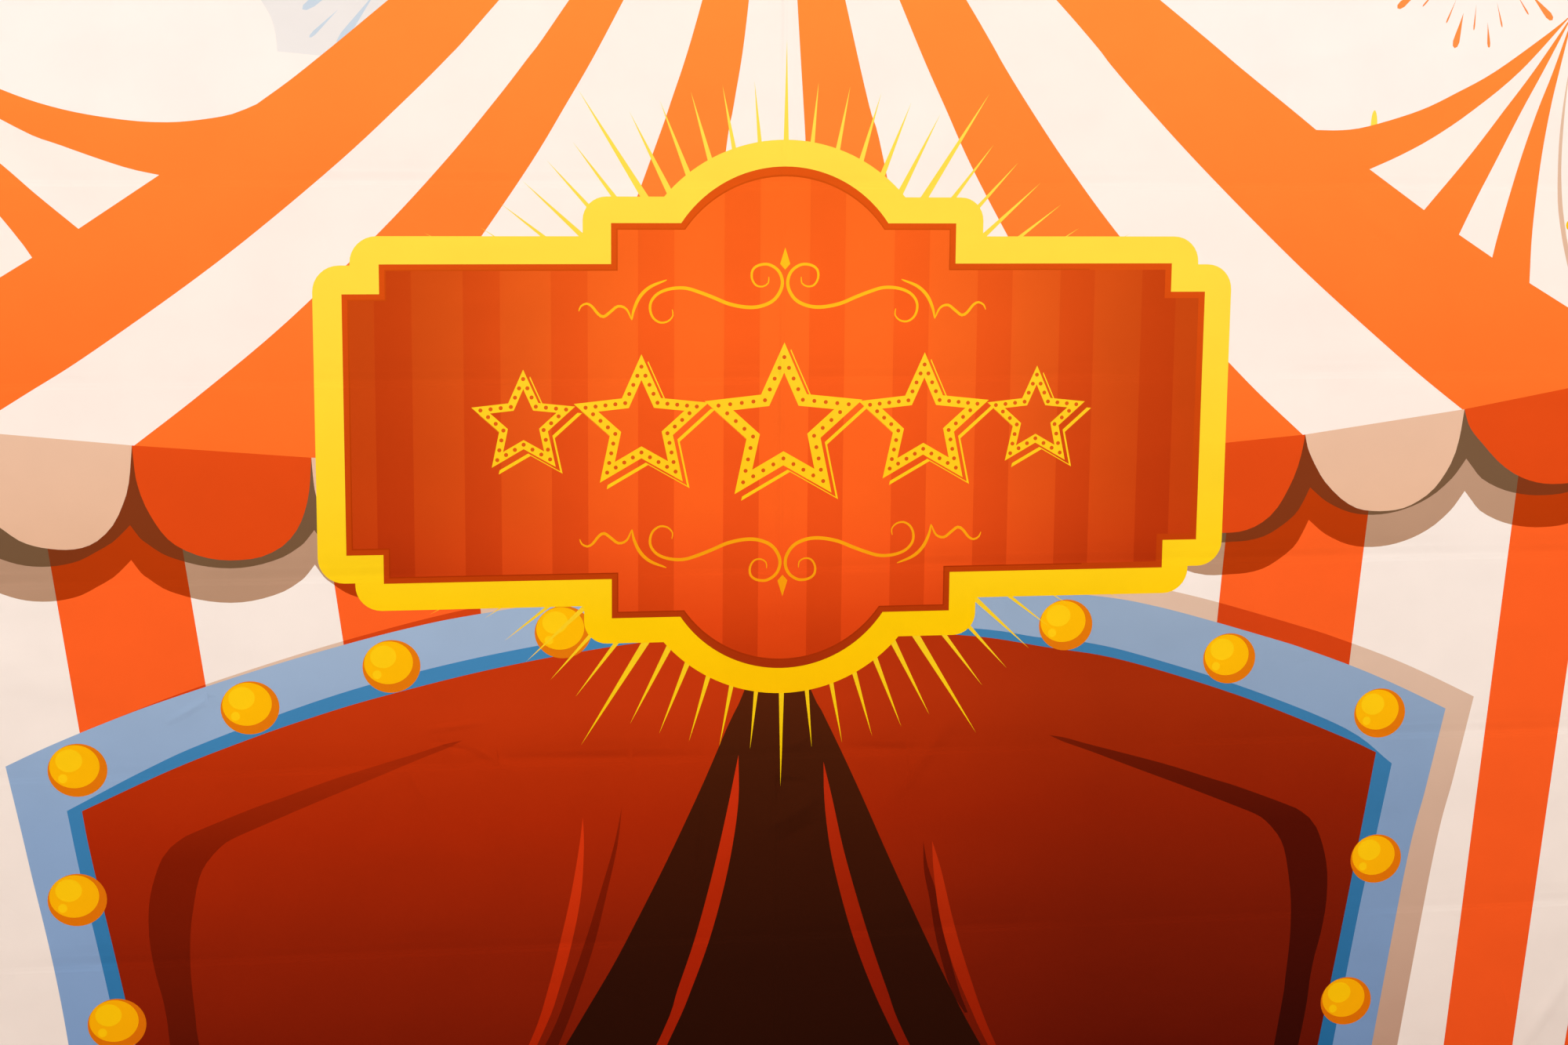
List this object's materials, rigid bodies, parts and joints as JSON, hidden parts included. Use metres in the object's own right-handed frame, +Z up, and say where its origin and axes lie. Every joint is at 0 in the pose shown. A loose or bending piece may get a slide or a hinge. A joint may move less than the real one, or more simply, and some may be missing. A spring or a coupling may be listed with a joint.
{
  "type": "free-standing printed party backdrop with a circus tent print",
  "caption": "Free-standing cloth backdrop printed with a striped circus tent, stretched over an aluminium tube frame with flat steel feet and rear braces.",
  "frame": {"origin": "on the floor under the middle of the frame, halfway along the feet", "axes": "+X along the backdrop to the right as seen from the front, +Y to the back, +Z up; the printed face looks along -Y"},
  "size_m": [3, 0.9, 2.42],
  "materials": {
    "printed_cloth": "printed matt polyester",
    "plain_cloth": "unprinted reverse of the polyester",
    "aluminium_tube": "satin, drawn and anodised",
    "black_fitting": "moulded, fine grain",
    "coated_steel": "powder coat, fine texture"
  },
  "bodies": {
    "root": {"cover_front": "printed_cloth", "cover_top_strip": "printed_cloth", "cover_top_flap": "plain_cloth", "cover_bottom_strip": "printed_cloth", "cover_bottom_flap": "plain_cloth", "cover_left_strip": "printed_cloth", "cover_left_flap": "plain_cloth", "cover_right_strip": "printed_cloth", "cover_right_flap": "plain_cloth", "post_left_lower": "aluminium_tube", "post_left_upper": "aluminium_tube", "post_inner_left_lower": "aluminium_tube", "post_inner_left_upper": "aluminium_tube", "post_inner_right_lower": "aluminium_tube", "post_inner_right_upper": "aluminium_tube", "post_right_lower": "aluminium_tube", "post_right_upper": "aluminium_tube", "rail_top_left": "aluminium_tube", "rail_top_middle": "aluminium_tube", "rail_top_right": "aluminium_tube", "rail_bottom_left": "aluminium_tube", "rail_bottom_middle": "aluminium_tube", "rail_bottom_right": "aluminium_tube", "elbow_top_left": "black_fitting", "elbow_top_right": "black_fitting", "elbow_bottom_left": "black_fitting", "elbow_bottom_right": "black_fitting", "tee_top_left": "black_fitting", "tee_top_right": "black_fitting", "tee_bottom_left": "black_fitting", "tee_bottom_right": "black_fitting", "foot_left": "coated_steel", "foot_inner_left": "coated_steel", "foot_inner_right": "coated_steel", "foot_right": "coated_steel", "brace_left": "aluminium_tube", "brace_right": "aluminium_tube", "brace_saddle_left": "black_fitting", "brace_saddle_right": "black_fitting"}
  },
  "joints": []
}
